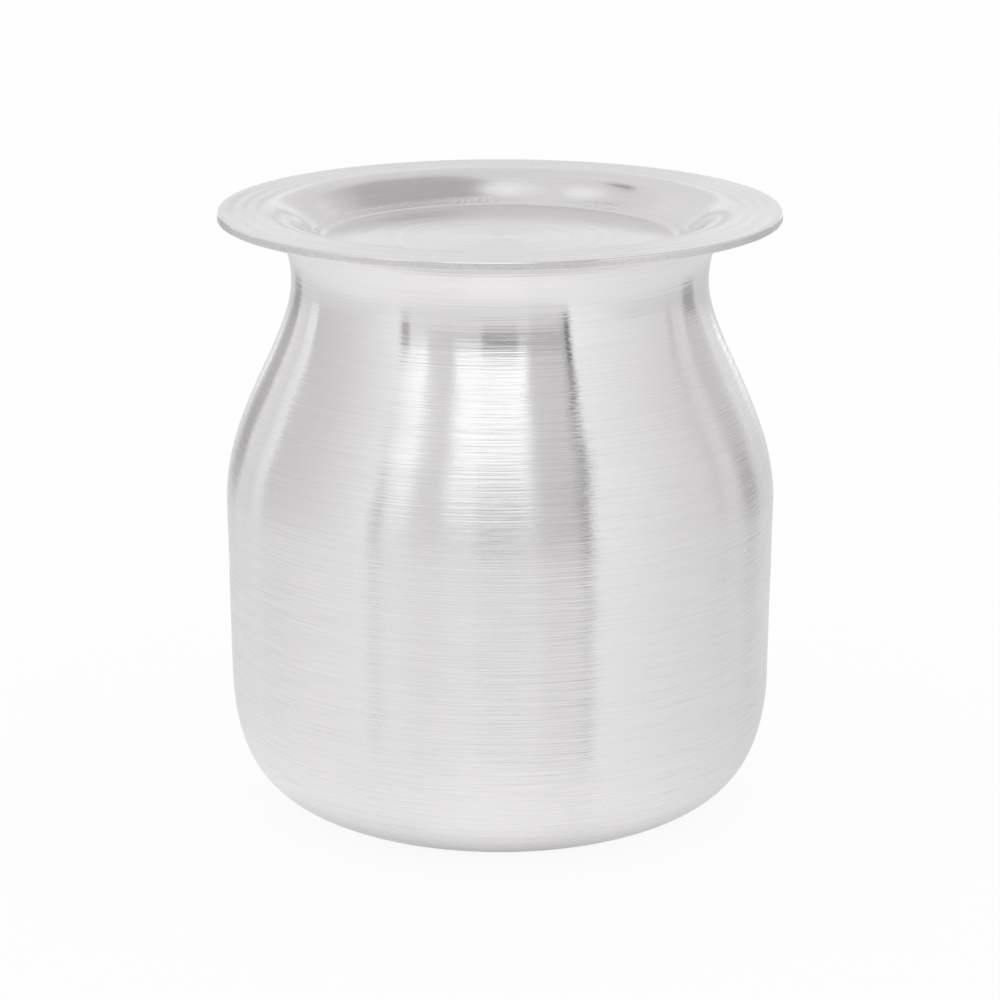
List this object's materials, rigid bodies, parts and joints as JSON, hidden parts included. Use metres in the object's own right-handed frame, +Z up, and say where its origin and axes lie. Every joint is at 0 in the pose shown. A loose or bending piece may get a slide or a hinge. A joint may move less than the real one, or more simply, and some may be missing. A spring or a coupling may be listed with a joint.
{
  "type": "lota",
  "caption": "Round-shouldered spun aluminium water pot with a narrow neck, a wide flat brim and a loose dished lid that sits on the brim.",
  "frame": {"origin": "centre of the flat base, on the surface that the pot stands on", "axes": "+Z up along the turning axis; X and Y are level and equal, as the pot is round"},
  "size_m": [0.1208, 0.1208, 0.1322],
  "materials": {
    "pot_metal": "satin spun aluminium with fine level turning marks",
    "lid_metal": "satin spun aluminium with fine round turning marks"
  },
  "bodies": {
    "pot": {"pot_body": "pot_metal"},
    "cover": {"lid": "lid_metal"}
  },
  "joints": [
    {"name": "lid_lift", "type": "slide", "parent": "pot", "child": "cover", "axis": [0, 0, 1], "range_m": [0, 0.08]}
  ]
}
